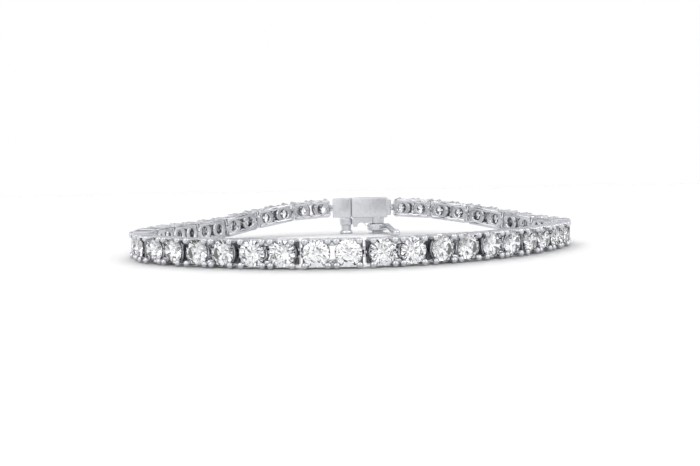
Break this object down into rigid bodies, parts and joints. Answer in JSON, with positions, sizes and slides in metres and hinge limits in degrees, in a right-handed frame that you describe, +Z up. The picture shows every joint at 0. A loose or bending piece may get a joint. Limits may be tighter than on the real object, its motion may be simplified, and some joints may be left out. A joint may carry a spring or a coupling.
{
  "type": "tennis bracelet",
  "caption": "Flexible line bracelet of pinned prong-set links with round clear stones, box clasp and swinging safety catch, closed in a loop and lying on its edge.",
  "frame": {"origin": "middle of the loop's footprint, on the surface it lies on", "axes": "+Z up, across the band; +X along the longer width of the loop; -Y towards the front of the loop, opposite the clasp"},
  "size_m": [0.0622, 0.058, 0.0063],
  "materials": {
    "link_metal": "rhodium-plated white gold, high polish",
    "brilliant_stone": "clear round brilliant-cut stone, polished facets",
    "clasp_metal": "rhodium-plated white gold, polished, with fine wear lines",
    "catch_metal": "rhodium-plated white gold, polished round wire"
  },
  "bodies": {
    "bracelet": {"link_01": "link_metal", "stones_01": "brilliant_stone", "link_02": "link_metal", "stones_02": "brilliant_stone", "link_03": "link_metal", "stones_03": "brilliant_stone", "link_04": "link_metal", "stones_04": "brilliant_stone", "link_05": "link_metal", "stones_05": "brilliant_stone", "link_06": "link_metal", "stones_06": "brilliant_stone", "link_07": "link_metal", "stones_07": "brilliant_stone", "link_08": "link_metal", "stones_08": "brilliant_stone", "link_09": "link_metal", "stones_09": "brilliant_stone", "link_10": "link_metal", "stones_10": "brilliant_stone", "link_11": "link_metal", "stones_11": "brilliant_stone", "link_12": "link_metal", "stones_12": "brilliant_stone", "link_13": "link_metal", "stones_13": "brilliant_stone", "link_14": "link_metal", "stones_14": "brilliant_stone", "link_15": "link_metal", "stones_15": "brilliant_stone", "link_16": "link_metal", "stones_16": "brilliant_stone", "link_17": "link_metal", "stones_17": "brilliant_stone", "link_18": "link_metal", "stones_18": "brilliant_stone", "link_19": "link_metal", "stones_19": "brilliant_stone", "link_20": "link_metal", "stones_20": "brilliant_stone", "link_21": "link_metal", "stones_21": "brilliant_stone", "link_22": "link_metal", "stones_22": "brilliant_stone", "link_23": "link_metal", "stones_23": "brilliant_stone", "clasp_box": "clasp_metal", "clasp_tongue": "clasp_metal"},
    "catch": {"safety_catch": "catch_metal"}
  },
  "joints": [
    {"name": "catch_swing", "type": "hinge", "parent": "bracelet", "child": "catch", "pos_m": [0.00405, 0.02619, 0.001], "axis": [0, 0, 1], "range_deg": [-96, 30]}
  ]
}
